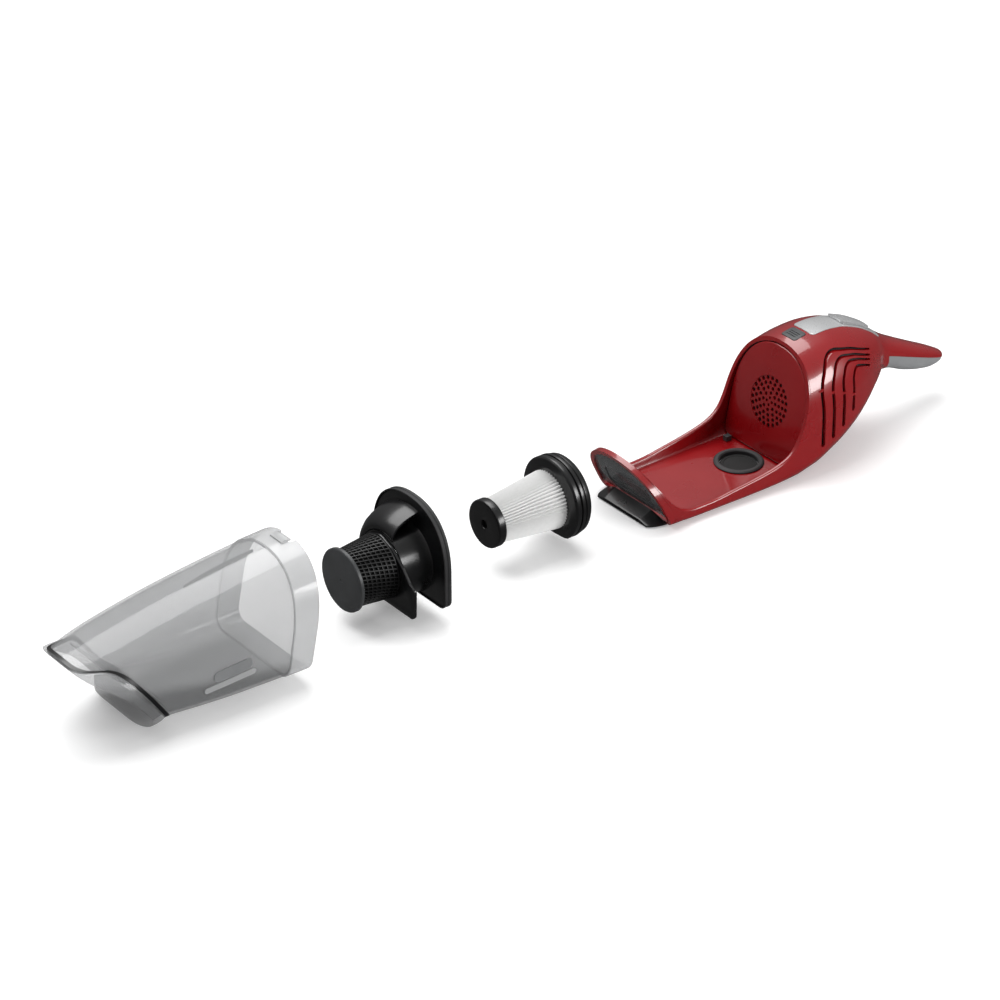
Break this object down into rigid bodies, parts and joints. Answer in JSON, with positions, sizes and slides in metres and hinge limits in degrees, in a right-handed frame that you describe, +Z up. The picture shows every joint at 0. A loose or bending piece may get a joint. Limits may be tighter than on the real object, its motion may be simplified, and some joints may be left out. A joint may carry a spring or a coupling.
{
  "type": "handheld vacuum",
  "caption": "Cordless handheld vacuum laid out in a line: clear dust cup, slotted pre-filter, pleated cone filter and red body with tray, vents and rear grip.",
  "frame": {"origin": "middle of the laid-out row's length, on the floor under the symmetry plane", "axes": "+X from the dust cup towards the handle, +Z up, -Y the side nearest the viewer; the shape is symmetric about y = 0 apart from the pre-filter's hood and the button spring's winding"},
  "size_m": [0.9622, 0.1096, 0.117],
  "materials": {
    "red_gloss": "high gloss with a fine metallic fleck",
    "black_gloss": "gloss",
    "dark_plastic": "satin",
    "grey_plastic": "satin",
    "silver_plastic": "silver satin",
    "rubber": "matte",
    "smoke_clear": "smoke-grey clear moulding",
    "light_clear": "light frosted clear moulding",
    "filter_paper": "pleated non-woven",
    "steel": "brushed",
    "board": "circuit board",
    "cell_sleeve": "shrink sleeve"
  },
  "bodies": {
    "body": {"tray_moulding": "red_gloss", "bulkhead": "red_gloss", "grille": "red_gloss", "housing_near": "red_gloss", "housing_far": "red_gloss", "handle_cover": "red_gloss", "front_panel": "dark_plastic", "catch_near": "dark_plastic", "catch_far": "dark_plastic", "port_plug": "dark_plastic", "spring_shelf": "dark_plastic", "fan_housing": "dark_plastic", "motor_mount": "dark_plastic", "battery_cradle": "dark_plastic", "nozzle_blade": "black_gloss", "charging_socket": "black_gloss", "port_ring": "rubber", "foot_near": "rubber", "foot_far": "rubber", "top_panel": "silver_plastic", "handle_grip": "grey_plastic", "button_spring": "steel", "motor_can": "steel", "battery_cell_1": "cell_sleeve", "battery_cell_2": "cell_sleeve", "battery_cell_3": "cell_sleeve", "battery_cell_4": "cell_sleeve", "battery_cell_5": "cell_sleeve", "control_board": "board"},
    "button": {"release_button": "dark_plastic"},
    "slider": {"power_slider": "silver_plastic"},
    "rotor": {"impeller": "grey_plastic"},
    "cup": {"cup_shell": "smoke_clear", "cup_collar": "light_clear", "mouth_seal": "rubber", "mouth_frame": "light_clear", "flap_pin": "steel"},
    "flap": {"inlet_flap": "grey_plastic"},
    "cyclone": {"cyclone_cap": "dark_plastic", "cyclone_screen": "black_gloss", "cyclone_baffle": "black_gloss", "cyclone_neck": "black_gloss", "cyclone_hood": "black_gloss", "cyclone_plate": "black_gloss", "cyclone_seal": "rubber"},
    "filter": {"filter_cap": "black_gloss", "filter_pleats": "filter_paper", "filter_core": "grey_plastic", "filter_ring": "black_gloss", "filter_gasket": "rubber"}
  },
  "joints": [
    {"name": "cup_slide", "type": "slide", "parent": "body", "child": "cup", "axis": [1, 0, 0], "range_m": [0, 0.03]},
    {"name": "flap_hinge", "type": "hinge", "parent": "cup", "child": "flap", "pos_m": [-0.44544, 0, 0.059], "axis": [0, -1, 0], "range_deg": [0, 60]},
    {"name": "prefilter_slide", "type": "slide", "parent": "cup", "child": "cyclone", "axis": [1, 0, 0], "range_m": [-0.145, 0]},
    {"name": "filter_slide", "type": "slide", "parent": "cyclone", "child": "filter", "axis": [1, 0, 0], "range_m": [-0.141, 0]},
    {"name": "button_press", "type": "slide", "parent": "body", "child": "button", "axis": [0, 0, -1], "range_m": [0, 0.003], "stiffness_N_per_m": 600, "deforming": ["button_spring"]},
    {"name": "power_slide", "type": "slide", "parent": "body", "child": "slider", "axis": [0.9487, 0, -0.3162], "range_m": [0, 0.004]},
    {"name": "impeller_spin", "type": "hinge", "parent": "body", "child": "rotor", "pos_m": [0.29606, 0, 0.055], "axis": [1, 0, 0], "continuous": true}
  ]
}
